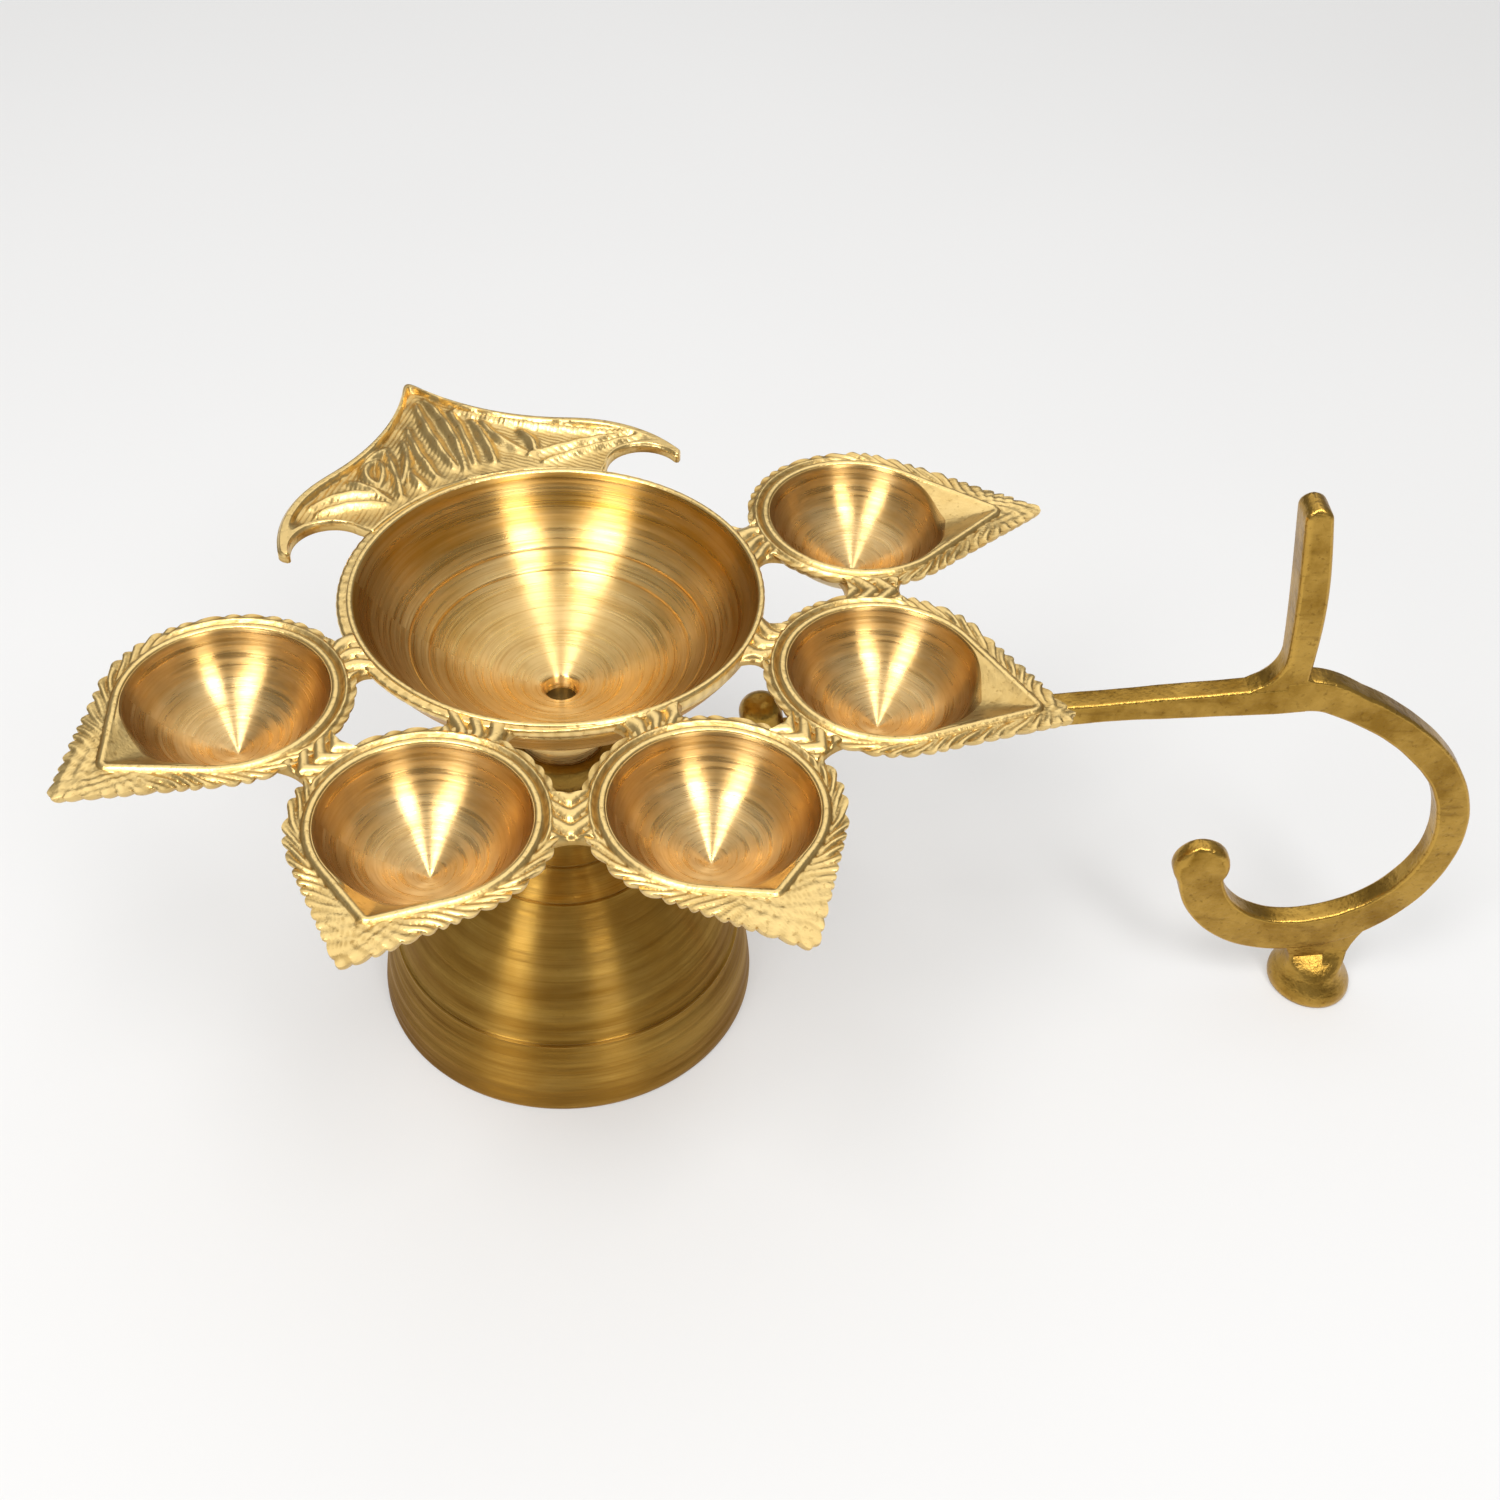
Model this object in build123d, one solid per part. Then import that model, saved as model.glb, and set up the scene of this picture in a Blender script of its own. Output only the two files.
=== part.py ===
from build123d import *
import math
import os

# Aarti lamp of brass: a bell pedestal carries an oil bowl, ringed by five leaf-shaped wick cups
# and a crest. The handle turns on a spigot between the pedestal and the bowl.
# The origin is at the middle of the pedestal's foot, +Z is up and the handle points along +X.

# Driving dimensions, in millimetres and degrees

# Pedestal
base_radius = 40.9
base_land = 1.5
skirt_radius = 37.3
skirt_height = 17.5
skirt_bulge = 0.5
flare_radius = 21.2
flare_height = 43.0
flare_bulge = 1.6
collar_radius = 14.7
collar_height = 47.0
neck_radius = 9.5
neck_foot = 54.0
neck_hollow = 0.9
pedestal_height = 62.4
pedestal_wall = 2.4
crown_thickness = 1.6
scribe_radius = 0.4

# Swivel, with its bolt
spigot_radius = 5.5
running_clearance = 0.05
swivel_play = 0.1
bolt_radius = 3.2
thread_clearance = 0.05
bolt_hole_clearance = 0.2
bolt_end_depth = 2.8
washer_radius = 8.0
washer_thickness = 1.2
bolt_head_flats = 10.0
bolt_head_height = 4.2

# Bowl
bowl_rim_radius = 37.5
bowl_curve = 42.0
bowl_break_radius = 16.0
bowl_line_radii = (28.1, 24.6)
bowl_depth = 25.2
bowl_wall = 2.4
bowl_ring_width = 2.0
ring_thickness = 3.2
boss_radius = 8.4
boss_height = 13.2
boss_bead_height = 6.0
boss_bead_depth = 1.6
boss_bead_land = 1.9

# Wick cups
head_heading = -62.3
end_cup_turn = 17.5
cup_radius = 17.7
cup_curve = 19.0
cup_break_radius = 8.0
cup_depth = 14.5
cup_wall = 2.0
cup_point_radius = 0.6
cup_tail_radius = 2.0
leaf_radius = 21.8
leaf_tips = (34.0, 31.5, 33.0, 34.4, 37.0)
leaf_tip_radius = 1.5
leaf_thickness = 1.6
bead_width = 1.4
bead_height = 0.7
spout_reaches = (5.9, 3.9, 2.8, 9.5, 9.7)
spout_tip_radius = 0.8
spout_depth = 2.2

# Webs
bowl_web_length = 1.9
bowl_web_width = 13.5
cup_gap = 3.14
cup_web_width = 9.0
cup_web_length = 11.0

# Crest, half its outline from the crown of the bowl's ring
crest_apex = 37.6
crest_apex_radius = 1.6
crest_flank = (22.5, 11.0)
crest_shoulder = (12.8, 25.8)
horn_back = (4.5, 36.8)
horn_tip = (-9.2, 42.6)
horn_inner = (-10.1, 40.4)
horn_radius = 0.8
notch_top = (-2.5, 32.2)
crest_root = (-6.5, 26.3)
crest_offset = 0.9
crest_rim = 2.2
crest_relief = 0.8

# Handle
handle_width = 5.0
eye_radius = 10.5
eye_thickness = 7.0
bar_rise = 9.0
bar_drop = 1.7
bar_start = 8.0
bar_straight = 105.0
bar_length = 147.5
bar_height = 4.9
loop_thickness = 6.8
loop_radii = (12.7, 61.3, 35.0, 28.6, 20.3)
loop_turns = (27.0, 28.5, 40.4, 92.3, 73.7)
scroll_radius = 6.0
scroll_lead = 5.4
thumb_height = 43.0
thumb_thickness = 5.0
thumb_width = 6.6
thumb_fillet = 8.0
stud_radius = 4.3
stud_height = 7.6
stud_round = 2.8
stud_place = 40.5
foot_radius = 9.3
foot_rim = 2.0
foot_height = 7.0
foot_neck_radius = 6.6
foot_hollow = 0.8
foot_place = 170.5

# Sizes that follow from these
eye_bottom = pedestal_height + swivel_play
eye_top = eye_bottom + eye_thickness
boss_bottom = eye_top + swivel_play
bowl_floor = boss_bottom + boss_height
rim_height = bowl_floor + bowl_depth
border_height = rim_height - bead_height
crown_height = flare_height - crown_thickness
bolt_end = bowl_floor - bolt_end_depth
cup_count = len(leaf_tips)
ring_radius = bowl_rim_radius + bowl_ring_width
cup_ring_radius = ring_radius + bowl_web_length + leaf_radius
cup_spacing = 2 * math.degrees(math.asin((leaf_radius + cup_gap / 2) / cup_ring_radius))
thread_radius = bolt_radius + thread_clearance
bolt_hole_radius = bolt_radius + bolt_hole_clearance


def turned(outline):
    """A solid of revolution about Z from a closed outline of (radius, height) edges."""
    return revolve(Plane.XZ * make_face(outline), Axis.Z)


def run(*points):
    """Straight edges through the points."""
    return Polyline(*points)


def ring(inner, outer, bottom, top):
    """A plain ring about Z."""
    return turned(run((inner, bottom), (outer, bottom), (outer, top), (inner, top), (inner, bottom)))


def slab(sketch, bottom, top):
    """A flat plate of the sketch's outline between two heights."""
    return Pos(0, 0, bottom) * extrude(sketch, top - bottom)


def curve_height(rim, rim_radius, curve, radius):
    """Height of a spherical hollow at a radius, below the rim that it starts from."""
    centre = rim + math.sqrt(curve**2 - rim_radius**2)
    return centre - math.sqrt(curve**2 - radius**2)


def hollow(rim, rim_radius, curve, break_radius, end_radius, end_height):
    """Closed outline of a turned hollow: a spherical wall, then a cone down to its end."""
    mid_radius = (rim_radius + break_radius) / 2
    mid = (mid_radius, curve_height(rim, rim_radius, curve, mid_radius))
    low = (break_radius, curve_height(rim, rim_radius, curve, break_radius))
    wall = ThreePointArc((rim_radius, rim), mid, low)
    return wall + run(low, (end_radius, end_height), (0, end_height), (0, rim), (rim_radius, rim))


def scribed(radius, height):
    """A scribed line around a turned piece."""
    return Pos(0, 0, height) * Torus(radius, scribe_radius)


def make_pedestal():
    shoulder = (skirt_radius, skirt_height)
    flare = (flare_radius, flare_height)
    collar = (collar_radius, collar_height)
    neck = (neck_radius, neck_foot)
    outside = (
        run((0, 0), (base_radius, 0), (base_radius, base_land))
        + SagittaArc((base_radius, base_land), shoulder, -skirt_bulge)
        + SagittaArc(shoulder, flare, -flare_bulge)
        + run(flare, collar)
        + SagittaArc(collar, neck, neck_hollow)
        + run(neck, (neck_radius, pedestal_height), (spigot_radius, pedestal_height))
        + run((spigot_radius, pedestal_height), (spigot_radius, boss_bottom), (0, boss_bottom), (0, 0))
    )
    inner_base = (base_radius - pedestal_wall, 0)
    inner_shoulder = (skirt_radius - pedestal_wall, skirt_height)
    inner_crown = (flare_radius - 2 * pedestal_wall, crown_height)
    inside = (
        SagittaArc(inner_base, inner_shoulder, -skirt_bulge)
        + SagittaArc(inner_shoulder, inner_crown, -flare_bulge)
        + run(inner_crown, (0, crown_height), (0, 0), inner_base)
    )
    body = turned(outside) - turned(inside) - ring(0, bolt_hole_radius, 0, boss_bottom)
    for radius, height in (shoulder, flare, collar):
        body -= scribed(radius, height)
    return body


def make_bowl():
    outer_curve = bowl_curve + bowl_wall
    centre = rim_height + math.sqrt(bowl_curve**2 - bowl_rim_radius**2)
    ring_bottom = rim_height - ring_thickness
    slope = math.tan(math.radians(cone_angle()))
    shell_top = (math.sqrt(outer_curve**2 - (centre - ring_bottom) ** 2), ring_bottom)
    shell_mid_radius = (shell_top[0] + bowl_break_radius) / 2
    shell_mid = (shell_mid_radius, centre - math.sqrt(outer_curve**2 - shell_mid_radius**2))
    shell_low = (bowl_break_radius, centre - math.sqrt(outer_curve**2 - bowl_break_radius**2))
    boss_top = (boss_radius, shell_low[1] - (bowl_break_radius - boss_radius) * slope)
    boss_bead_low = (boss_radius, boss_bottom + boss_bead_land)
    boss_bead_high = (boss_radius, boss_bottom + boss_bead_land + boss_bead_height)
    outside = (
        run((0, rim_height), (ring_radius, rim_height), (ring_radius, ring_bottom), shell_top)
        + ThreePointArc(shell_top, shell_mid, shell_low)
        + run(shell_low, boss_top, boss_bead_high)
        + SagittaArc(boss_bead_high, boss_bead_low, boss_bead_depth)
        + run(boss_bead_low, (boss_radius, boss_bottom), (0, boss_bottom), (0, rim_height))
    )
    inside = hollow(rim_height, bowl_rim_radius, bowl_curve, bowl_break_radius, thread_radius, bowl_floor)
    body = turned(outside) - turned(inside) - ring(0, thread_radius, boss_bottom, rim_height)
    for radius in bowl_line_radii:
        body -= scribed(radius, curve_height(rim_height, bowl_rim_radius, bowl_curve, radius))
    return body


def cone_angle():
    """Slope of the bowl's conical bottom, in degrees."""
    drop = curve_height(rim_height, bowl_rim_radius, bowl_curve, bowl_break_radius) - bowl_floor
    return math.degrees(math.atan2(drop, bowl_break_radius - thread_radius))


def teardrop(radius, tip, tip_radius):
    """A circle about the origin drawn out to a rounded tip along +X."""
    return make_hull((Circle(radius) + Pos(tip - tip_radius, 0) * Circle(tip_radius)).edges())


def cup_place(index):
    """Where a wick cup stands, with its leaf's own X axis along the leaf."""
    middle = (cup_count - 1) / 2
    angle = head_heading + (index - middle) * cup_spacing
    turn = {0: end_cup_turn, cup_count - 1: -end_cup_turn}.get(index, 0)
    return Rot(0, 0, angle) * Pos(cup_ring_radius, 0) * Rot(0, 0, turn)


def leaf_outline(index):
    return teardrop(leaf_radius, leaf_tips[index], leaf_tip_radius)


def make_cup(index):
    spout_tip = cup_radius + spout_reaches[index]
    leaf = slab(leaf_outline(index), border_height - leaf_thickness, border_height)
    lip = teardrop(cup_radius + bead_width, spout_tip + bead_width, spout_tip_radius + bead_width)
    mouth = teardrop(cup_radius, spout_tip, spout_tip_radius)
    bead = slab(lip, border_height - leaf_thickness, rim_height)
    shell = hollow(
        rim_height,
        cup_radius + cup_wall,
        cup_curve + cup_wall,
        cup_break_radius,
        cup_tail_radius,
        rim_height - cup_depth - cup_wall,
    )
    cavity = hollow(rim_height, cup_radius, cup_curve, cup_break_radius, cup_point_radius, rim_height - cup_depth)
    start = cup_radius * (cup_radius - spout_tip_radius) / (spout_tip - spout_tip_radius)
    ramp_side = run(
        (start, rim_height),
        (spout_tip, rim_height),
        (spout_tip, border_height),
        (start, border_height - spout_depth * (1 - start / spout_tip)),
        (start, rim_height),
    )
    ramp = extrude(Plane.XZ * make_face(ramp_side), cup_radius, both=True)
    spout = ramp & slab(mouth, border_height - leaf_thickness, rim_height)
    body = leaf + bead + turned(shell) - turned(cavity) - spout
    return cup_place(index) * body


def placed_leaf(index):
    return cup_place(index) * leaf_outline(index)


def make_bowl_web(index):
    """The patch between the bowl's ring and one cup."""
    middle = (cup_count - 1) / 2
    angle = head_heading + (index - middle) * cup_spacing
    span = cup_ring_radius - ring_radius
    patch = Rot(0, 0, angle) * Pos(ring_radius + span / 4, 0) * Rectangle(span / 2, bowl_web_width)
    patch = patch - Circle(ring_radius) - placed_leaf(index)
    return slab(patch, border_height - leaf_thickness, border_height)


def make_cup_web(index):
    """The patch between one cup and the next."""
    middle = (cup_count - 1) / 2
    angle = head_heading + (index + 0.5 - middle) * cup_spacing
    reach = cup_ring_radius * math.cos(math.radians(cup_spacing / 2))
    patch = Rot(0, 0, angle) * Pos(reach, 0) * Rectangle(cup_web_length, cup_web_width)
    patch = patch - placed_leaf(index) - placed_leaf(index + 1)
    return slab(patch, border_height - leaf_thickness, border_height)


def crest_outline():
    """The crest's outline, its apex along +X, cast a little off the axis and cut to the bowl's ring."""
    centre = (-ring_radius, 0)
    half = (
        run(centre, (crest_apex, 0))
        + ThreePointArc((crest_apex, 0), crest_flank, crest_shoulder)
        + ThreePointArc(crest_shoulder, horn_back, horn_tip)
        + run(horn_tip, horn_inner)
        + ThreePointArc(horn_inner, notch_top, crest_root)
        + run(crest_root, centre)
    )
    face = make_face(half)
    whole = face + mirror(face, Plane.XZ)
    return Pos(ring_radius, crest_offset) * whole - Circle(ring_radius)


def make_crest():
    outline = crest_outline()
    plate = slab(outline, border_height - leaf_thickness, rim_height)
    plate = fillet(plate.edges().filter_by(Axis.Z).sort_by(Axis.X)[-1], crest_apex_radius)
    corners = plate.edges().filter_by(Axis.Z).sort_by(Axis.Y)
    plate = fillet(corners[:2] + corners[-2:], horn_radius)
    field = slab(offset(outline, -crest_rim), rim_height - crest_relief, rim_height)
    return Rot(0, 0, head_heading + 180) * (plate - field)


def bar_plane():
    """The handle's upright middle plane: local X runs along the bar's top face, local Y rises from it."""
    rise = math.radians(bar_rise)
    origin = (0, 0, eye_top - bar_drop)
    return Plane(origin=origin, x_dir=(math.cos(rise), 0, math.sin(rise)), z_dir=(0, -1, 0))


def upright(sketch, width):
    """A plate of the handle, as wide as given and centred on the handle's plane."""
    return extrude(bar_plane() * sketch, width / 2, both=True)


def make_bar():
    """The bar, deeper where it joins the loop, with the eye that turns on the spigot."""
    start, straight, end = bar_start, bar_straight, bar_length
    under = (
        run((end, 0), (start, 0), (start, -bar_height), (straight, -bar_height))
        + TangentArc((straight, -bar_height), (end, -loop_thickness), tangent=(1, 0))
        + run((end, -loop_thickness), (end, 0))
    )
    bar = upright(make_face(under), handle_width)
    eye = ring(0, eye_radius, eye_bottom, eye_top)
    bore = ring(0, spigot_radius + running_clearance, eye_bottom, eye_top)
    seat = ring(0, boss_radius + swivel_play, eye_top, eye_top + eye_thickness)
    return bar + eye - bore - seat


def loop_path():
    """Middle line of the finger loop in the bar's own axes: tangent arcs from the bar round to the scroll."""
    arcs = []
    start = Vector(bar_length, -loop_thickness / 2)
    heading = Vector(1, 0)
    for radius, turn in zip(loop_radii, loop_turns):
        arc = JernArc(start, heading, radius, -turn)
        arcs.append(arc)
        start = arc @ 1
        heading = arc % 1
    return arcs


def make_loop():
    """The finger loop with its scroll, and the root that stands on the foot."""
    arcs = loop_path()
    path = Wire(arcs)
    section = Plane(path @ 0, x_dir=(0, 0, 1), z_dir=path % 0) * Rectangle(handle_width, loop_thickness)
    band = bar_plane() * sweep(section, path=path)
    scroll_centre = path @ 1 + (path % 1) * scroll_lead
    scroll = upright(Pos(scroll_centre.X, scroll_centre.Y) * Circle(scroll_radius), handle_width)
    root_top = foot_height + 2 * loop_thickness
    root = Pos(foot_place, 0, (foot_height + root_top) / 2) * Box(
        2 * foot_neck_radius, handle_width, root_top - foot_height
    )
    return band + scroll + root


def make_thumb_rest():
    """The upright lug, with a round top and a fillet on its inner side, on the bar's top face."""
    right = bar_length
    left = right - thumb_thickness
    round_radius = thumb_thickness / 2
    shoulder = thumb_height - round_radius
    side = (
        run((left - thumb_fillet, 0), (right, 0), (right, shoulder))
        + ThreePointArc((right, shoulder), (right - round_radius, thumb_height), (left, shoulder))
        + run((left, shoulder), (left, thumb_fillet))
        + RadiusArc((left, thumb_fillet), (left - thumb_fillet, 0), thumb_fillet)
    )
    return upright(make_face(side), thumb_width)


def make_stud():
    """The rounded stud that stands on the bar's top face."""
    stud = Pos(0, 0, stud_height / 2) * Cylinder(stud_radius, stud_height)
    stud = fillet(stud.edges().sort_by(Axis.Z)[-1], stud_round)
    plane = bar_plane()
    face = Plane(origin=plane.from_local_coords((stud_place, 0, 0)), x_dir=plane.x_dir, z_dir=plane.y_dir)
    return face * stud


def make_foot():
    """The turned button that the handle stands on."""
    outline = (
        run((0, 0), (foot_radius, 0), (foot_radius, foot_rim))
        + SagittaArc((foot_radius, foot_rim), (foot_neck_radius, foot_height), foot_hollow)
        + run((foot_neck_radius, foot_height), (0, foot_height), (0, 0))
    )
    return Pos(foot_place, 0, 0) * turned(outline)


def make_bolt():
    """Hexagon bolt from inside the bell up into the bowl's boss."""
    head_top = crown_height - washer_thickness
    head = RegularPolygon(bolt_head_flats / 2, 6, major_radius=False)
    shank = ring(0, bolt_radius, head_top, bolt_end)
    return slab(head, head_top - bolt_head_height, head_top) + shank


def make_washer():
    return ring(bolt_hole_radius, washer_radius, crown_height - washer_thickness, crown_height)


nodes = {
    "pedestal": make_pedestal(),
    "central_bowl": make_bowl(),
    "crest": make_crest(),
    "clamp_bolt": make_bolt(),
    "clamp_washer": make_washer(),
    "handle_bar": make_bar(),
    "finger_loop": make_loop(),
    "thumb_rest": make_thumb_rest(),
    "bar_stud": make_stud(),
    "handle_foot": make_foot(),
}
for number in range(cup_count):
    nodes[f"wick_cup_{number + 1}"] = make_cup(number)
    nodes[f"bowl_web_{number + 1}"] = make_bowl_web(number)
for number in range(cup_count - 1):
    nodes[f"cup_web_{number + 1}"] = make_cup_web(number)

os.makedirs("parts", exist_ok=True)
for name, shape in nodes.items():
    export_step(shape, f"parts/{name}.step")
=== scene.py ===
import math

import bpy
import numpy as np
from mathutils import Matrix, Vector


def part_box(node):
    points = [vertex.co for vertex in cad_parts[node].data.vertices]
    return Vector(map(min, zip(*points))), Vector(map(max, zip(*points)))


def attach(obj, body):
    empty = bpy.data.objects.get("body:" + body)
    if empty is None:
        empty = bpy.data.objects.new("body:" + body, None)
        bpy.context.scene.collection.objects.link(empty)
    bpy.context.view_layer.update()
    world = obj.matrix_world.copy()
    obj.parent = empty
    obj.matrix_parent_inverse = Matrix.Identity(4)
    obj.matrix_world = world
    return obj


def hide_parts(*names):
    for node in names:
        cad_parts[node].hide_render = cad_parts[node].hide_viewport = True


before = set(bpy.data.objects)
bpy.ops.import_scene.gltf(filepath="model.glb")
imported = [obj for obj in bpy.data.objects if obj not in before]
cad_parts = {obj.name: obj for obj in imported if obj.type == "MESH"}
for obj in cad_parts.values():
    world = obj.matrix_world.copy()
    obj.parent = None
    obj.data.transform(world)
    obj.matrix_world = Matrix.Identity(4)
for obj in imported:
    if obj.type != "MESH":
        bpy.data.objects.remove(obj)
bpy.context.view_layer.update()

# Shapes below are worked out in millimetres and scaled once, when their mesh is made
MM = 0.001


def box_mm(node):
    """A CAD node's lowest and highest corners in millimetres."""
    low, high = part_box(node)
    return np.array(low) / MM, np.array(high) / MM


# Sizes read from the frame
bowl_low, bowl_high = box_mm("central_bowl")
pedestal_high = box_mm("pedestal")[1]
web_low, web_high = box_mm("bowl_web_1")
boss_bottom = bowl_low[2]
rim_height = bowl_high[2]
ring_radius = bowl_high[0]
base_radius = pedestal_high[0]
spigot_top = pedestal_high[2]
leaf_bottom = web_low[2]
border_height = web_high[2]
cup_bottom = box_mm("wick_cup_1")[0][2]
foot_place = sum(box_mm("handle_foot"))[0] / 2

# Pedestal, with the places on its outside as (radius, height)
base_land = 1.5
base_round = 0.5
skirt_top = (37.3, 17.5)
skirt_bulge = 0.5
flare_top = (21.2, 43.0)
flare_bulge = 1.6
collar = (14.7, 47.0)
neck = (9.5, 54.0)
neck_hollow = 0.9
seat_height = 62.4
seat_round = 0.4
spigot_radius = 5.5
bolt_hole_radius = 3.4
crown_height = 41.4
pedestal_wall = 2.4

# Bowl
bowl_rim_radius = 37.5
bowl_curve = 42.0
bowl_break_radius = 16.0
bowl_line_radii = (24.6, 28.1)
bowl_floor = 82.8
bowl_wall = 2.4
thread_radius = 3.25
lip_width = 1.05
ring_thickness = 3.2
ring_shift = 0.9
nick_count = 96
nick_depth = 0.1
boss_radius = 8.4
boss_top = 82.4
bead_foot = 1.9
bead_height = 6.0
bead_depth = 1.6

# Wick cups
cup_ring_radius = 63.2
cup_spacing = 43.4
head_heading = -62.3
end_cup_turn = 17.5
cup_radius = 17.7
cup_curve = 19.0
cup_break_radius = 8.0
cup_depth = 14.5
cup_wall = 2.0
leaf_radius = 21.8
leaf_tips = (34.0, 31.5, 33.0, 34.4, 37.0)
leaf_tip_radius = 1.5
spout_reaches = (5.9, 3.9, 2.8, 9.5, 9.7)
spout_tip_radius = 0.8
spout_fall = 2.1
mouth_drop = 0.35
cup_count = len(leaf_tips)

# Leaf borders, with angles in radians from the leaf's tip and depths below the rim
border_start = 1.75
back_angle = 1.45
back_blend = 0.45
broad_width = 3.2
broad_blend = 4.0
strand_pitch = 3.5
strand_slant = 2.6
strand_curl = 0.12
strand_height = 0.66
strand_reach = 0.9
valley_depth = 0.8
back_bead_place = 0.75
back_bead_width = 0.5
back_bead_height = 0.7
back_depth = 0.75

# Webs, with the fan's pitch in radians
bowl_web_half_width = 6.9
fan_pitch = 0.34
cup_web_half_length = 6.4
cup_web_waist = 1.2
chevron_pitch = 3.6
chevron_slope = 0.9

# Crest, in axes that have the ring's crown at their origin and the apex along +X
crest_apex = (40.0, 0.0)
crest_flank = (23.0, 11.0)
crest_shoulder = (12.8, 25.8)
horn_back = (4.5, 36.8)
horn_tip = (-9.2, 42.6)
horn_inner = (-10.1, 40.4)
horn_round = 1.2
notch_top = (-2.5, 32.2)
crest_root = (-6.5, 26.3)
crest_offset = 0.9
crest_rim = 2.7
crest_base = 1.7
crest_depth = 1.45

# Handle, whose plane's local X runs along the bar's top face
bar_rise = math.radians(9.0)
bar_origin = 67.8
bar_start = 8.0
bar_straight = 105.0
bar_length = 147.5
bar_height = 4.9
bar_half_width = 2.5
bar_corner = 0.7
eye_hole_radius = 5.55
eye_radius = 10.5
eye_round = 0.6
eye_bottom = 62.5
eye_top = 69.5
loop_thickness = 6.8
loop_radii = (12.7, 61.3, 35.0, 28.6, 20.3)
loop_turns = (27.0, 28.5, 40.4, 92.3, 73.7)
loop_overlap = 4.0
scroll_radius = 6.0
scroll_lead = 5.4
scroll_shift = 0.8
thumb_height = 43.0
thumb_thickness = 5.0
thumb_fillet = 8.0
thumb_fillet_limit = 7.0
thumb_dome = 2.5
thumb_corner = 0.9
stud_place = 40.5
stud_radius = 4.3
stud_height = 7.6
stud_round = 3.2
flat_relief = 0.62


# Mesh tools

def add_mesh(name, points, faces, relief=None):
    """A smooth mesh object from points in millimetres, with an optional relief value for each point."""
    mesh = bpy.data.meshes.new(name)
    mesh.from_pydata((np.asarray(points) * MM).tolist(), [], faces)
    mesh.validate()
    mesh.shade_smooth()
    mesh.set_sharp_from_angle(angle=math.radians(50))
    if relief is not None:
        layer = mesh.attributes.new("relief", "FLOAT", "POINT")
        layer.data.foreach_set("value", np.asarray(relief, np.float32).reshape(-1))
    piece = bpy.data.objects.new(name, mesh)
    bpy.context.scene.collection.objects.link(piece)
    return piece


def loft(name, rings, relief=None, closed=False):
    """A closed skin through rings of points, capped at both ends unless it closes on itself."""
    rings = np.asarray(rings, float)
    rows, columns, _ = rings.shape
    points = rings.reshape(-1, 3)
    grid = np.arange(rows * columns).reshape(rows, columns)
    after = np.roll(grid, -1, 1)
    quads = np.stack([grid, after, np.roll(after, -1, 0), np.roll(grid, -1, 0)], -1)
    if closed:
        return add_mesh(name, points, quads.reshape(-1, 4).tolist(), relief)
    faces = quads[:-1].reshape(-1, 4).tolist()
    first, last = len(points), len(points) + 1
    for column in range(columns):
        faces.append((first, after[0, column], column))
        faces.append((last, grid[-1, column], after[-1, column]))
    points = np.vstack([points, rings[0].mean(0), rings[-1].mean(0)])
    return add_mesh(name, points, faces, np.append(relief, [relief[0].mean(), relief[-1].mean()]))


def plate(name, top, bottom, relief):
    """A plate whose top is a grid of points and whose underside is flat."""
    rows, columns, _ = top.shape
    under = top.copy()
    under[..., 2] = bottom
    count = rows * columns
    grid = np.arange(count).reshape(rows, columns)
    quads = np.stack([grid[:-1, :-1], grid[:-1, 1:], grid[1:, 1:], grid[1:, :-1]], -1).reshape(-1, 4)
    edge = np.concatenate([grid[0], grid[1:, -1], grid[-1, -2::-1], grid[-2:0:-1, 0]])
    after = np.roll(edge, -1)
    sides = np.stack([after, edge, count + edge, count + after], -1)
    faces = np.vstack([quads, count + quads[:, ::-1], sides]).tolist()
    points = np.vstack([top.reshape(-1, 3), under.reshape(-1, 3)])
    return add_mesh(name, points, faces, np.append(relief, np.zeros(count)))


def full_circle(steps):
    """Angles evenly round a circle, its end left out."""
    return np.arange(steps) * 2 * math.pi / steps


def polar(angle, radius, height):
    """Points about the upright axis from their angles, radii and heights."""
    return np.stack(np.broadcast_arrays(radius * np.cos(angle), radius * np.sin(angle), height), -1)


def turn(profile, steps=288):
    """Rings of points of a profile of (radius, height) turned about the upright axis."""
    radius, height = np.asarray(profile, float).T[..., None]
    return polar(full_circle(steps), radius, height)


def rotated(points, angle):
    """Points rotated about the upright axis."""
    out = points.copy()
    out[..., 0] = points[..., 0] * math.cos(angle) - points[..., 1] * math.sin(angle)
    out[..., 1] = points[..., 0] * math.sin(angle) + points[..., 1] * math.cos(angle)
    return out


def arc(start, end, bulge, steps):
    """Points on a shallow parabola between two points, bulging to the left of the way along it."""
    start, end = np.array(start, float), np.array(end, float)
    along = np.linspace(0, 1, steps)
    side = np.array([start[1] - end[1], end[0] - start[0]])
    side /= np.linalg.norm(side)
    return start + along[:, None] * (end - start) + (4 * bulge * along * (1 - along))[:, None] * side


def line(start, end, steps):
    """Points evenly along a straight line."""
    return arc(start, end, 0, steps)


def run_along(points):
    """Each point's distance along a line of points."""
    return np.concatenate([[0], np.cumsum(np.linalg.norm(np.diff(points, axis=0), axis=1))])


def smooth_step(value):
    """A soft step from 0 to 1 while the value goes from 0 to 1."""
    value = np.clip(value, 0, 1)
    return value * value * (3 - 2 * value)


def strand(phase):
    """Rounded ridges with sharp valleys, one for each whole step of the phase."""
    part = phase - np.floor(phase)
    return 1 - (2 * part - 1) ** 2


# Materials

def new_material(name):
    """A material with its node tree and its shader."""
    material = bpy.data.materials.new(name)
    material.use_nodes = True
    tree = material.node_tree
    return material, tree, tree.nodes["Principled BSDF"]


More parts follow.
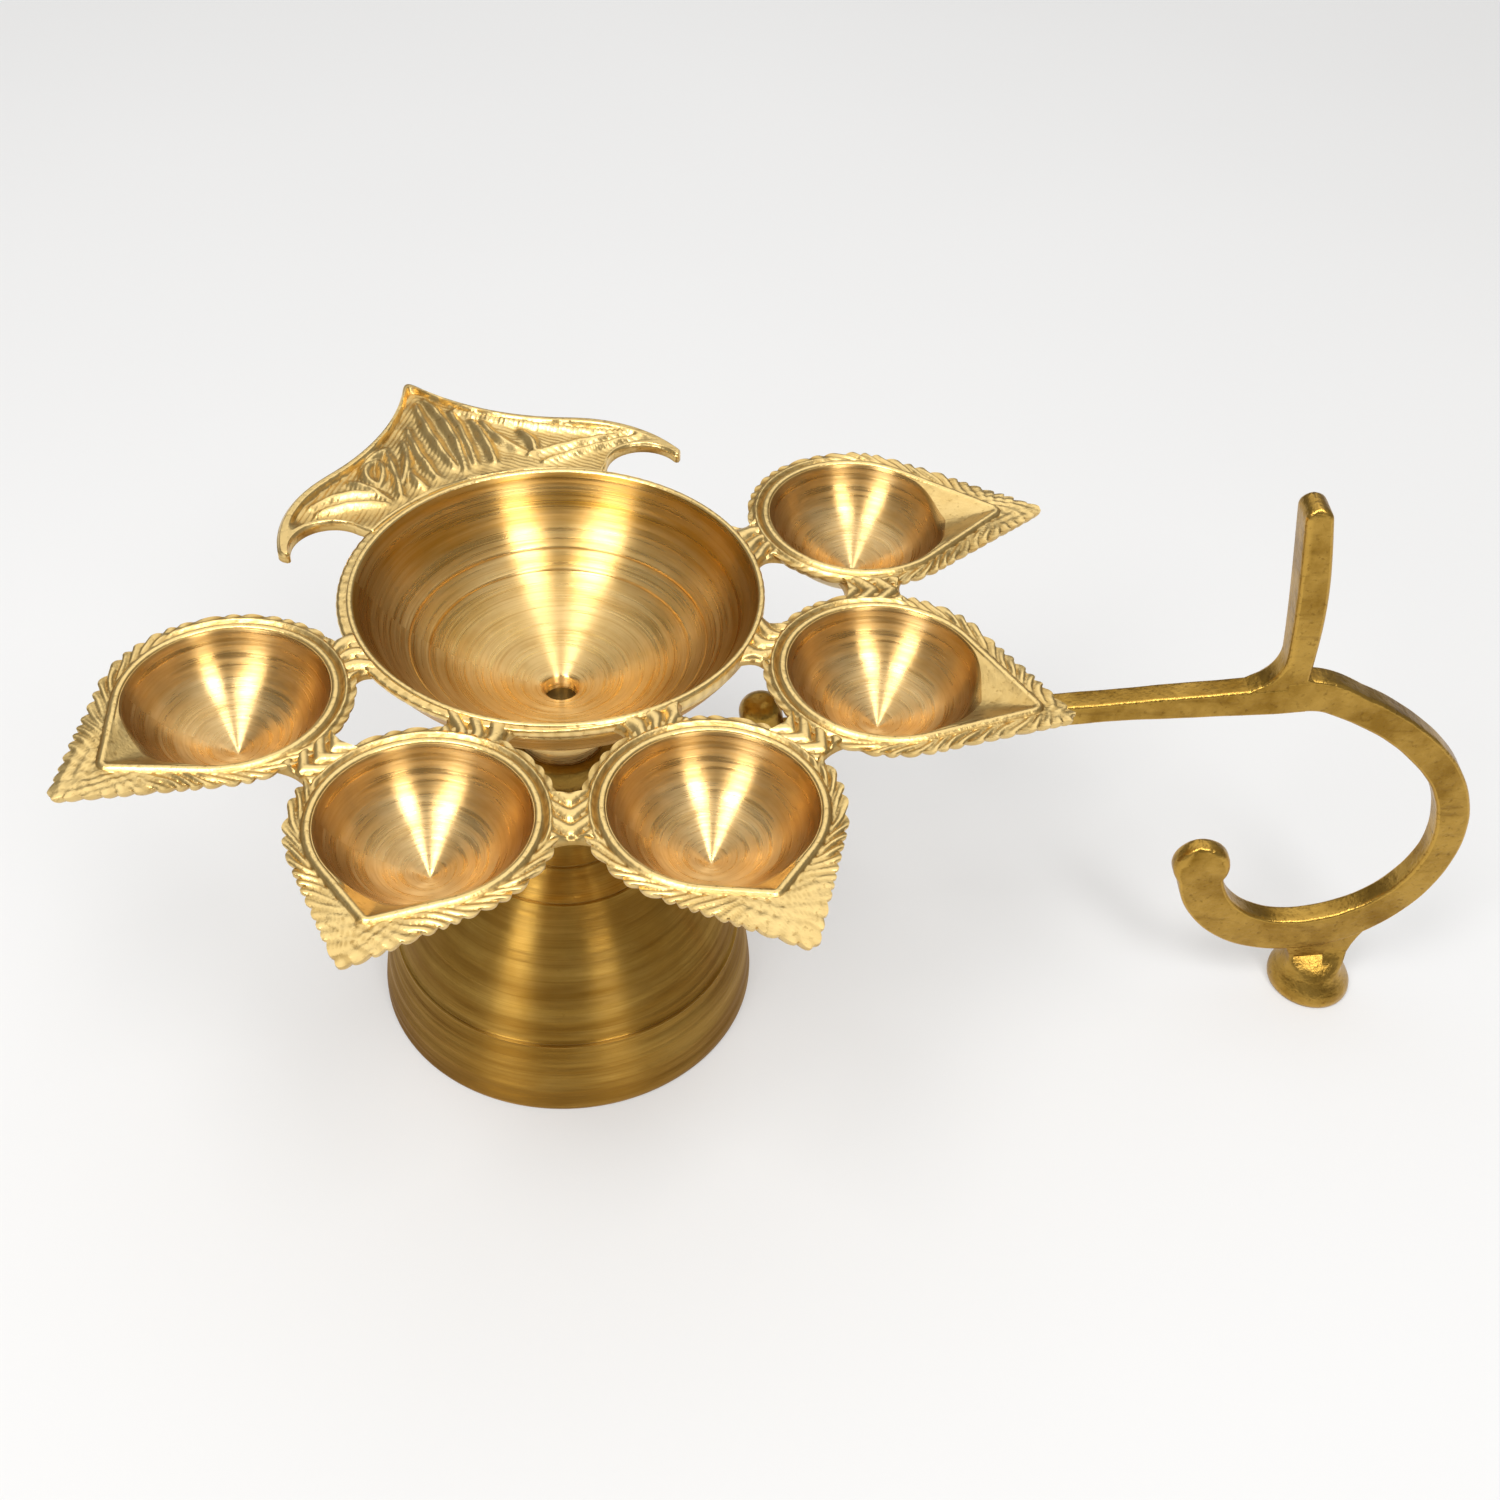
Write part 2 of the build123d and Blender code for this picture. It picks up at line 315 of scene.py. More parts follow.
def plug(tree, node, **inputs):
    """Sets a node's inputs, or links those given as another node's output."""
    for name, value in inputs.items():
        socket = node.inputs[name.replace("_", " ")]
        if isinstance(value, bpy.types.NodeSocket):
            tree.links.new(value, socket)
        else:
            socket.default_value = value


def noise(tree, vector, scale, detail, roughness=0.55):
    """A noise value from 0 to 1."""
    node = tree.nodes.new("ShaderNodeTexNoise")
    plug(tree, node, Vector=vector, Scale=scale, Detail=detail, Roughness=roughness)
    return node.outputs["Fac"]


def ramp(tree, factor, stops):
    """A colour ramp through two (place, colour) stops."""
    node = tree.nodes.new("ShaderNodeValToRGB")
    plug(tree, node, Fac=factor)
    for element, (place, colour) in zip(node.color_ramp.elements, stops):
        element.position = place
        element.color = (*colour, 1)
    return node.outputs["Color"]


def span(tree, factor, low, high, from_low, from_high):
    """A value that goes from low to high while the factor goes from from_low to from_high."""
    node = tree.nodes.new("ShaderNodeMapRange")
    plug(tree, node, Value=factor, From_Min=from_low, From_Max=from_high, To_Min=low, To_Max=high)
    return node.outputs["Result"]


def combined(tree, operation, first, second):
    """The result of an operation on two values."""
    node = tree.nodes.new("ShaderNodeMath")
    node.operation = operation
    tree.links.new(first, node.inputs[0])
    tree.links.new(second, node.inputs[1])
    return node.outputs[0]


def tint(tree, factor, colour, other):
    """A colour that turns into another as the factor grows."""
    node = tree.nodes.new("ShaderNodeMix")
    node.data_type = "RGBA"
    # The colour sockets of this node come after those for numbers and vectors
    tree.links.new(factor, node.inputs[0])
    tree.links.new(colour, node.inputs[6])
    node.inputs[7].default_value = (*other, 1)
    return node.outputs[2]


def bump(tree, height, distance, strength, **normal):
    """A normal disturbed by a height, on top of another normal if there is one."""
    node = tree.nodes.new("ShaderNodeBump")
    plug(tree, node, Height=height, Distance=distance, Strength=strength, **normal)
    return node.outputs["Normal"]


def object_place(tree):
    """Places in the object's own axes, in metres."""
    return tree.nodes.new("ShaderNodeTexCoord").outputs["Object"]


def stretched(tree, vector, scale):
    """A vector with each of its parts scaled."""
    node = tree.nodes.new("ShaderNodeMapping")
    plug(tree, node, Vector=vector, Scale=scale)
    return node.outputs["Vector"]


def split_vector(tree, vector):
    """A vector's three parts."""
    node = tree.nodes.new("ShaderNodeSeparateXYZ")
    plug(tree, node, Vector=vector)
    return node.outputs["X"], node.outputs["Y"], node.outputs["Z"]


def join_vector(tree, **parts):
    """A vector from its parts, the rest zero."""
    node = tree.nodes.new("ShaderNodeCombineXYZ")
    plug(tree, node, **parts)
    return node.outputs["Vector"]


def lathe_place(tree, place):
    """A turned surface's (distance from the axis, height, angle), its outward direction and its height."""
    x, y, height = split_vector(tree, place)
    flat = join_vector(tree, X=x, Y=y)
    distance = tree.nodes.new("ShaderNodeVectorMath")
    distance.operation = "LENGTH"
    plug(tree, distance, Vector=flat)
    angle = combined(tree, "ARCTAN2", y, x)
    around = join_vector(tree, X=distance.outputs["Value"], Y=height, Z=angle)
    outward = tree.nodes.new("ShaderNodeVectorTransform")
    outward.vector_type = "VECTOR"
    outward.convert_from = "OBJECT"
    outward.convert_to = "WORLD"
    plug(tree, outward, Vector=flat)
    return around, outward.outputs["Vector"], height


def turned_brass(name, bright, dull, deep, shade_heights, roughness, spread):
    """Lathe-turned brass with circular lines; painted shade darkens it between two heights of the wall."""
    material, tree, shader = new_material(name)
    place = object_place(tree)
    around, outward, height = lathe_place(tree, place)
    fine = noise(tree, stretched(tree, around, (3000, 3000, 0.5)), 1.0, 2.0, 0.7)
    coarse = noise(tree, stretched(tree, around, (1000, 1000, 0.6)), 1.0, 3.0, 0.65)
    streaks = noise(tree, stretched(tree, around, (260, 260, 0.8)), 1.0, 3.0, 0.6)
    patches = noise(tree, place, 42, 5.0, 0.62)
    specks = noise(tree, place, 420, 2.0, 0.5)
    colour = ramp(tree, patches, ((0.32, dull), (0.62, bright)))
    colour = tint(tree, span(tree, coarse, 0.0, 0.65, 0.48, 0.7), colour, dull)
    colour = tint(tree, span(tree, fine, 0.0, 0.45, 0.5, 0.72), colour, deep)
    # Painted shade: the colour turns toward the deep tone between the two wall heights, broken up by streaks
    painted_shade_rise = span(tree, height, 0.0, 0.75, shade_heights[0] * MM, shade_heights[1] * MM)
    painted_shade_and_streaks = combined(tree, "ADD", painted_shade_rise, span(tree, streaks, -0.35, 0.35, 0.3, 0.7))
    colour = tint(tree, span(tree, painted_shade_and_streaks, 0.0, 0.9, 0.1, 0.9), colour, deep)
    colour = tint(tree, span(tree, specks, 0.0, 0.4, 0.74, 0.8), colour, deep)
    sheen = span(tree, coarse, roughness + 0.1, roughness - 0.08, 0.35, 0.65)
    lines = bump(tree, coarse, 0.0001, 0.7)
    lines = bump(tree, fine, 0.000025, 0.6, Normal=lines)
    plug(tree, shader, Metallic=1.0, Base_Color=colour, Roughness=sheen, Normal=lines)
    plug(tree, shader, Anisotropic=spread, Tangent=outward)
    return material


def cast_brass(name, bright, dull, recess, grain):
    """Cast brass: mottled and pitted, with painted shade in its recesses, and brightened by wear and a
    painted highlight where its relief is high.
    """
    material, tree, shader = new_material(name)
    place = object_place(tree)
    attribute = tree.nodes.new("ShaderNodeAttribute")
    attribute.attribute_name = "relief"
    relief = attribute.outputs["Fac"]
    patches = noise(tree, place, 75, 5.0, 0.65)
    pits = noise(tree, place, 900, 3.0, 0.6)
    marks = noise(tree, stretched(tree, place, (90, 90, 420)), 1.0, 4.0, 0.6)
    wear_and_highlight = tuple(min(1.0, 1.2 * value) for value in bright)
    colour = ramp(tree, patches, ((0.36, dull), (0.6, bright)))
    colour = tint(tree, span(tree, marks, 0.0, 0.45, 0.56, 0.72), colour, recess)
    # Painted shade: the colour darkens toward the recess tone where the relief is low
    colour = tint(tree, span(tree, relief, 0.6, 0.0, 0.05, 0.45), colour, recess)
    # Wear and painted highlight: the colour brightens where the relief is high, on ridges and edges
    colour = tint(tree, span(tree, relief, 0.0, 0.7, 0.7, 1.0), colour, wear_and_highlight)
    colour = tint(tree, span(tree, pits, 0.5, 0.0, 0.3, 0.42), colour, recess)
    sheen = span(tree, relief, 0.42, 0.3, 0.0, 0.8)
    skin = bump(tree, patches, 0.0005 * grain, 0.5)
    skin = bump(tree, pits, 0.00012 * grain, 0.7, Normal=skin)
    plug(tree, shader, Metallic=1.0, Base_Color=colour, Roughness=sheen, Normal=skin)
    return material


bowl_brass = turned_brass(
    "bowl_brass",
    bright=(0.82, 0.58, 0.25), dull=(0.66, 0.43, 0.14), deep=(0.46, 0.22, 0.022),
    shade_heights=(87, 105), roughness=0.3, spread=0.9,
)
cup_brass = turned_brass(
    "cup_brass",
    bright=(0.84, 0.62, 0.31), dull=(0.68, 0.45, 0.18), deep=(0.48, 0.26, 0.06),
    shade_heights=(95, 107), roughness=0.31, spread=0.9,
)
# Darker than the bowl's brass and darker still toward its foot: painted shade for the dark reflections on the
# bell
pedestal_brass = turned_brass(
    "pedestal_brass",
    bright=(0.68, 0.43, 0.105), dull=(0.48, 0.265, 0.045), deep=(0.29, 0.14, 0.018),
    shade_heights=(80, 5), roughness=0.38, spread=1.0,
)
bolt_brass = turned_brass(
    "bolt_brass",
    bright=(0.22, 0.14, 0.04), dull=(0.16, 0.10, 0.03), deep=(0.08, 0.05, 0.015),
    shade_heights=(30, 80), roughness=0.5, spread=0.4,
)
leaf_brass = cast_brass(
    "leaf_brass",
    bright=(0.82, 0.60, 0.25), dull=(0.67, 0.455, 0.16), recess=(0.33, 0.18, 0.038), grain=1.0,
)
# Darker than the leaf brass: partly tarnish, partly painted shade for the dark reflections on the handle's
# faces
handle_brass = cast_brass(
    "handle_brass",
    bright=(0.50, 0.30, 0.062), dull=(0.28, 0.15, 0.02), recess=(0.15, 0.075, 0.011), grain=1.8,
)


def finish(piece, body, slot, materials, *nodes):
    """Gives a piece its materials, body and the CAD nodes it stands for; the slot is not used."""
    for material in materials:
        piece.data.materials.append(material)
    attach(piece, body)
    if nodes:
        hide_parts(*nodes)


# Pedestal

def scribed(at, slope):
    """A scribed line across a profile, with a small raised lip on either side."""
    along = np.array(slope) / np.linalg.norm(slope)
    out = np.array([along[1], -along[0]])
    cut = ((-0.7, 0), (-0.4, 0.1), (0, -0.26), (0.3, 0.12), (0.6, 0))
    return [np.array(at) + along * shift + out * lift for shift, lift in cut]


def make_pedestal():
    """The hollow bell that the lamp stands on, with the handle's seat and spigot at its top."""
    skirt_foot = (base_radius, base_land)
    inner_foot = (base_radius - pedestal_wall, 0)
    inner_skirt = (skirt_top[0] - pedestal_wall, skirt_top[1])
    inner_crown = (flare_top[0] - 2 * pedestal_wall, crown_height)
    profile = np.vstack([
        [inner_foot, (base_radius - base_round, 0), (base_radius, base_round), skirt_foot],
        arc(skirt_foot, skirt_top, -skirt_bulge, 22)[1:-1],
        scribed(skirt_top, (-1.2, 2.0)),
        arc(skirt_top, flare_top, -flare_bulge, 44)[2:-2],
        scribed(flare_top, (-1.3, 1.2)),
        line(flare_top, collar, 8)[2:-2],
        scribed(collar, (-1.4, 1.4)),
        arc(collar, neck, neck_hollow, 14)[2:],
        [(neck[0], seat_height - seat_round), (neck[0] - seat_round, seat_height)],
        [(spigot_radius, seat_height), (spigot_radius, spigot_top)],
        [(bolt_hole_radius, spigot_top), (bolt_hole_radius, crown_height), inner_crown],
        arc(inner_skirt, inner_crown, -flare_bulge, 16)[::-1][1:],
        arc(inner_foot, inner_skirt, -skirt_bulge, 10)[::-1][1:-1],
    ])
    piece = loft("bell_pedestal", turn(profile), closed=True)
    finish(piece, "lamp", "turned_brass", [pedestal_brass], "pedestal")


# Bowl

def make_bowl():
    """The oil bowl: a turned hollow with scribed lines, a lip, a nicked ring round it and a boss below."""
    steps = 432
    centre = rim_height + math.sqrt(bowl_curve**2 - bowl_rim_radius**2)

    def wall(radius, curve=bowl_curve, lift=0.0):
        """A place on the hollow's spherical wall, or on the shell's."""
        return radius, centre - math.sqrt(curve**2 - radius**2) + lift

    hole_edge = (thread_radius + 0.5, bowl_floor + 0.1)
    hollow = [(thread_radius, boss_bottom), (thread_radius, bowl_floor - 0.4)]
    hollow += list(line(hole_edge, wall(bowl_break_radius), 18))
    cut = ((-0.2, 0.05), (0.0, -0.3), (0.22, 0.07), (0.45, 0.0))
    start = bowl_break_radius
    for line_radius in bowl_line_radii:
        hollow += [wall(radius) for radius in np.linspace(start, line_radius - 0.5, 10)[1:]]
        hollow += [wall(line_radius + shift, lift=lift) for shift, lift in cut]
        start = line_radius + cut[-1][0]
    hollow += [wall(radius) for radius in np.linspace(start, bowl_rim_radius - 0.45, 24)[1:]]

    lip_shape = ((-0.1, -0.35), (0.1, -0.08), (0.35, 0.0), (0.75, 0.0), (0.95, -0.1), (lip_width, -0.4))
    lip = [(bowl_rim_radius + shift, rim_height + lift) for shift, lift in lip_shape]
    ring_top = ((0.3, -0.5), (0.6, -0.42), (0.9, -0.6))
    ring_side = ((1.0, -1.0), (0.95, -1.5), (0.75, -2.0), (0.3, -2.5), (-0.3, -2.9))
    ring_shape = ring_top + ring_side
    ring_start = bowl_rim_radius + lip_width
    ring_width = ring_radius - bowl_rim_radius - lip_width
    ring = [(ring_start + ring_width * share, rim_height + lift) for share, lift in ring_shape]

    shell_curve = bowl_curve + bowl_wall
    ring_bottom = rim_height - ring_thickness
    shell_radius = math.sqrt(shell_curve**2 - (centre - ring_bottom) ** 2)
    shell = [wall(radius, shell_curve) for radius in np.linspace(shell_radius, bowl_break_radius, 20)]
    shell += list(line(shell[-1], (boss_radius, boss_top), 10)[1:])
    bead_low = boss_bottom + bead_foot
    shell += list(arc((boss_radius, bead_low + bead_height), (boss_radius, bead_low), bead_depth, 12))
    shell.append((boss_radius, boss_bottom))

    # The ring is a little off the bowl's centre, and its top and edge are nicked
    rings = turn(hollow + lip + ring + shell, steps)
    relief = np.ones(rings.shape[:2])
    angle = full_circle(steps)
    nicks = strand(angle * nick_count / (2 * math.pi))
    first_row = len(hollow) + len(lip)
    for row, ((share, lift), (radius, height)) in enumerate(zip(ring_shape, ring), first_row):
        nick = nick_depth * share * (nicks - 0.5)
        radius = radius - share * (ring_shift * np.cos(angle)) + nick
        rings[row] = polar(angle, radius, height + nick * (lift > -1))
        relief[row] = 0.6 + 0.4 * nicks
    piece = loft("oil_bowl", rings, relief, closed=True)
    finish(piece, "lamp", "turned_brass", [bowl_brass, leaf_brass], "central_bowl")
    cast_rows = range(len(hollow), first_row + len(ring))
    for face in piece.data.polygons:
        face.material_index = int(min(face.vertices) // steps in cast_rows)


# Wick cups, each made of rows of (radius, height, relief) from its middle outward and back below

def teardrop_radius(angle, radius, tip, tip_radius):
    """Distance from a teardrop's centre to its outline, at angles measured from its tip."""
    angle = np.abs(angle)
    centre = tip - tip_radius
    tangent = math.acos((radius - tip_radius) / centre)
    nose = math.atan2(tip_radius * math.sin(tangent), centre + tip_radius * math.cos(tangent))
    side = radius / np.cos(np.clip(tangent - angle, 0, 1.4))
    front = centre * np.cos(angle) + np.sqrt(np.maximum(tip_radius**2 - (centre * np.sin(angle)) ** 2, 0))
    return np.where(angle >= tangent, radius, np.where(angle < nose, front, side))


def leaf_edge(angle, tip):
    """Distance from a cup's axis to its leaf's edge."""
    return teardrop_radius(angle, leaf_radius, tip, leaf_tip_radius)


def mouth_line(angle, spout_tip, offset):
    """Distance from a cup's axis to a line that runs round its mouth and spout at an offset."""
    return teardrop_radius(angle, cup_radius + offset, spout_tip + offset, spout_tip_radius + offset)


def outline_angles(tip, steps):
    """Angles that space points evenly along a leaf's edge, and their distance along it from the tip."""
    angle = np.linspace(-math.pi, math.pi, 8001)
    run = run_along(polar(angle, leaf_edge(angle, tip), 0.0))
    place = (np.arange(steps) + 0.5) / steps * run[-1]
    return np.interp(place, run, angle), place - run[-1] / 2


def cup_angle(index):
    """The heading of a cup from the lamp's axis."""
    return math.radians(head_heading + (index - (cup_count - 1) / 2) * cup_spacing)


def cup_turn(index):
    """The turn of a cup's leaf from its heading, for the two end cups only."""
    return math.radians({0: end_cup_turn, cup_count - 1: -end_cup_turn}.get(index, 0))


def cup_floor(radius):
    """Height of a cup's turned hollow: a spherical wall above a cone that ends in a point."""
    centre = rim_height + math.sqrt(cup_curve**2 - cup_radius**2)
    break_height = centre - math.sqrt(cup_curve**2 - cup_break_radius**2)
    point = rim_height - cup_depth
    wall = centre - np.sqrt(cup_curve**2 - np.minimum(radius, cup_curve) ** 2)
    cone = point + (break_height - point) * radius / cup_break_radius
    return np.where(radius > cup_break_radius, wall, cone)


def spout_floor(angle, radius, spout_tip):
    """Height of a spout's floor: a trough that rises to the lip at its sides and at its tip."""
    x, y = radius * np.cos(angle), radius * np.sin(angle)
    spread = math.asin((cup_radius - spout_tip_radius) / (spout_tip - spout_tip_radius))
    half_width = np.maximum((spout_tip - x) * math.tan(spread), 0.4)
    fall = spout_fall * np.clip((spout_tip - x) / (spout_tip - cup_radius), 0, 2)
    fall *= smooth_step((math.pi / 2 - spread - np.abs(angle)) / 0.35)
    return rim_height - mouth_drop - fall * np.clip(1 - (y / half_width) ** 2, 0, 1) ** 1.3


def hollow_rows(angle, spout_tip):
    """Rows of a cup's hollow, which stops where it meets the spout's floor."""
    trial = np.linspace(13, cup_radius - 0.12, 160)
    under = cup_floor(trial)[:, None] <= np.stack([spout_floor(angle, radius, spout_tip) for radius in trial])
    edge = trial[np.maximum(under.sum(0) - 1, 0)]
    return [(share * edge, cup_floor(share * edge), 1.0) for share in np.linspace(0.012, 1, 44)]


def spout_rows(angle, spout_tip, hollow_edge):
    """Rows of a spout's floor from the hollow's edge to the mouth."""
    mouth = mouth_line(angle, spout_tip, 0)
    rows = []
    for share in (0.15, 0.35, 0.55, 0.75, 0.95):
        radius = hollow_edge + share * (mouth - hollow_edge)
        height = np.maximum(spout_floor(angle, radius, spout_tip), cup_floor(hollow_edge))
        rows.append((radius, height, 0.55))
    return rows


def lip_rows(angle, spout_tip):
    """Rows of the rounded lip that runs round the mouth and spout, and of the groove outside it."""
    crown = ((0.1, -0.14, 0.8), (0.3, -0.02, 1.0), (0.6, 0.04, 1.0), (0.95, 0.0, 1.0), (1.2, -0.14, 0.8))
    groove = ((1.4, -0.4, 0.2), (1.6, -0.5, 0.0))
    return [
        (mouth_line(angle, spout_tip, offset), rim_height + lift, relief)
        for offset, lift, relief in crown + groove
    ]


def border_rows(index, angle, along, spout_tip):
    """Rows of a leaf's border: slanting strands along its sides to the tip, and a second bead at its back."""
    inner = mouth_line(angle, spout_tip, border_start)
    width = leaf_edge(angle, leaf_tips[index]) - inner
    back = smooth_step((np.abs(angle) - back_angle) / back_blend)
    broad = smooth_step((width - broad_width) / broad_blend)
    wander = 0.8 * np.sin(along * 0.23 + index) + 0.5 * np.sin(along * 0.61 + 2 * index)
    swell = 0.75 + 0.25 * np.sin(along * 0.37 + 3 * index)
    rows = []
    for share in np.linspace(0, 1, 12):
        reach = share * width
        slant = strand_slant * reach - strand_curl * reach**2
        ridge = strand((np.abs(along) + wander - slant) / strand_pitch)
        crown = math.sin(math.pi * (0.1 + 0.72 * share)) ** 0.5
        lumps = 0.14 * np.sin(1.1 * along + 3 * index) * np.sin(1.9 * reach + 0.5 * along)
        rope = -valley_depth + (strand_height - 0.54 * broad) * swell * ridge * crown
        rope += broad * (0.36 * crown + lumps)
        bead = back_bead_height * np.exp(-(((reach - back_bead_place) / back_bead_width) ** 2))
        bead += 0.25 * ridge * share**2 - back_depth
        lift = rope + back * (bead - rope)
        grow = (strand_reach - 0.55 * back) * share**4 * (ridge - 0.5)
        relief = np.clip(0.1 + 0.3 * broad + 0.95 * ridge * crown + back * (0.2 + lift), 0, 1)
        rows.append((inner + reach + grow, rim_height + lift, relief))
    return rows


def underside_rows(edge):
    """Rows of a leaf's bevelled edge and underside, and of the cup's shell below it."""
    bevel = ((0.05, 0.2), (0.3, 0.5), (0.85, 0.85), (1.5, 1.0))
    thickness = border_height - leaf_bottom
    rows = [(edge - inset, border_height - share * thickness, 0.4) for inset, share in bevel]
    shell_curve = cup_curve + cup_wall
    centre = rim_height + math.sqrt(shell_curve**2 - (cup_radius + cup_wall) ** 2)
    shell_top = math.sqrt(shell_curve**2 - (centre - leaf_bottom) ** 2)
    rows.append((shell_top + 0.35, leaf_bottom, 0.4))
    for radius in np.linspace(shell_top, cup_break_radius, 14):
        rows.append((radius, centre - math.sqrt(shell_curve**2 - radius**2), 0.5))
    cone_height = rows[-1][1] - cup_bottom
    for radius in np.linspace(cup_break_radius, 0.4, 6)[1:]:
        rows.append((radius, cup_bottom + cone_height * (radius / cup_break_radius), 0.5))
    return rows


def make_cup(index):
    """A wick cup: a turned hollow with a spout, in a cast leaf."""
    steps = 480
    spout_tip = cup_radius + spout_reaches[index]
    angle, along = outline_angles(leaf_tips[index], steps)
    hollow = hollow_rows(angle, spout_tip)
    rows = hollow + spout_rows(angle, spout_tip, hollow[-1][0]) + lip_rows(angle, spout_tip)
    rows += border_rows(index, angle, along, spout_tip)
    rows += underside_rows(rows[-1][0])
    rings = np.stack([polar(angle, radius, height) for radius, height, _ in rows])
    relief = np.stack([np.broadcast_to(value, angle.shape) for _, _, value in rows])
    heading = cup_angle(index)
    piece = loft(f"wick_leaf_{index + 1}", rotated(rings, heading + cup_turn(index)), relief)
    # The turned brass needs the hollow's axis through the piece's own origin
    piece.matrix_world = Matrix.Translation(polar(heading, cup_ring_radius, 0.0) * MM)
    finish(piece, "lamp", "cast_brass", [cup_brass, leaf_brass], f"wick_cup_{index + 1}")
    for face in piece.data.polygons:
        face.material_index = int(min(face.vertices) // steps >= len(hollow))


# Webs

def make_bowl_web(index):
    """The patch from the bowl's ring to a cup, with ridges that fan out from the cup."""
    across, out = np.meshgrid(np.linspace(-1, 1, 61), np.linspace(0, 1, 26), indexing="ij")
    y = across * (bowl_web_half_width * (0.8 + 0.2 * (2 * out - 1) ** 2))
    start = np.sqrt((ring_radius - 0.9) ** 2 - y**2)
    end = cup_ring_radius - np.sqrt((leaf_radius - 1.2) ** 2 - y**2)
    x = start + out * (end - start)
    focus = cup_ring_radius - 0.62 * leaf_radius
    ridge = strand(np.arctan2(y, focus - x) / fan_pitch + 0.5 + 0.25 * np.sin(3 * out + 2 * index))
    fade = smooth_step((1 - np.abs(across)) / 0.12)
    lift = -0.95 + 0.85 * ridge * fade - 0.35 * (1 - fade)
    top = rotated(np.stack([x, y, rim_height + lift], -1), cup_angle(index))
    piece = plate(f"bowl_patch_{index + 1}", top, leaf_bottom, 0.2 + 0.8 * ridge * fade)
    finish(piece, "lamp", "cast_brass", [leaf_brass], f"bowl_web_{index + 1}")


def make_cup_web(index):
    """The patch between two cups, with nested chevrons that point away from the bowl."""
    reach = cup_ring_radius * math.cos(math.radians(cup_spacing / 2))
    spread = cup_ring_radius * math.sin(math.radians(cup_spacing / 2))
    out, across = np.meshgrid(np.linspace(-1, 1, 61), np.linspace(-1, 1, 41), indexing="ij")
    half_length = cup_web_half_length - cup_web_waist * (1 - across**2)
    x = reach + out * half_length + 0.4
    y = across * (spread - np.sqrt((leaf_radius - 1.9) ** 2 - (x - reach) ** 2))
    bend = np.sqrt(y**2 + 0.2)
    ridge = strand((x - reach + chevron_slope * bend) / chevron_pitch + 0.35) ** 0.8
    fade = smooth_step((1 - np.abs(out)) / 0.1) * smooth_step((1 - np.abs(across)) / 0.18)
    lift = -1.0 + 0.9 * ridge * fade - 0.3 * (1 - fade)
    heading = (cup_angle(index) + cup_angle(index + 1)) / 2
    top = rotated(np.stack([x, y, rim_height + lift], -1), heading)
    piece = plate(f"cup_patch_{index + 1}", top, leaf_bottom, 0.2 + 0.8 * ridge * fade)
    finish(piece, "lamp", "cast_brass", [leaf_brass], f"cup_web_{index + 1}")


# Crest

def three_point_arc(start, middle, end, steps):
    """Points on the circle arc through three points."""
    (ax, ay), (bx, by), (cx, cy) = start, middle, end
    d = 2 * (ax * (by - cy) + bx * (cy - ay) + cx * (ay - by))
    sums = ax**2 + ay**2, bx**2 + by**2, cx**2 + cy**2
    ux = (sums[0] * (by - cy) + sums[1] * (cy - ay) + sums[2] * (ay - by)) / d
    uy = (sums[0] * (cx - bx) + sums[1] * (ax - cx) + sums[2] * (bx - ax)) / d
    radius = math.hypot(ax - ux, ay - uy)
    first, mid, last = (math.atan2(p[1] - uy, p[0] - ux) for p in (start, middle, end))
    turned = (last - first) % (2 * math.pi)
    if (mid - first) % (2 * math.pi) > turned:
        turned -= 2 * math.pi
    angle = first + np.linspace(0, 1, steps) * turned
    return np.stack([ux + radius * np.cos(angle), uy + radius * np.sin(angle)], 1)


def resample(points, count):
    """Points spaced evenly along a line of points."""
    run = run_along(points)
    place = np.linspace(0, run[-1], count)
    return np.stack([np.interp(place, run, points[:, i]) for i in (0, 1)], 1)


def smoothed(points, width):
    """A line of points with its corners rounded by a moving average."""
    weights = np.ones(width) / width
    padded = np.pad(points, ((width // 2, width // 2), (0, 0)), mode="edge")
    return np.stack([np.convolve(padded[:, i], weights, "valid") for i in (0, 1)], 1)


def crest_edges(steps):
    """The crest's inner and outer edges from one horn to the other, mirrored about the apex."""
    horn = three_point_arc(horn_tip, horn_back, crest_shoulder, 60)
    flank = three_point_arc(crest_shoulder, crest_flank, crest_apex, 80)
    notch = three_point_arc(horn_inner, notch_top, crest_root, 50)
    angle = np.linspace(math.atan2(crest_root[1], crest_root[0] + ring_radius), 0, 70)
    seam_radius = ring_radius - 0.9
    seam = np.stack([seam_radius * np.cos(angle) - ring_radius, seam_radius * np.sin(angle)], 1)
    edges = []
    for half in (np.vstack([notch, seam]), np.vstack([horn, flank[1:]])):
        half = resample(half, steps)
        edges.append(np.vstack([half, (half * (1, -1))[::-1][1:]]))
    return edges[0], smoothed(edges[1], 21)


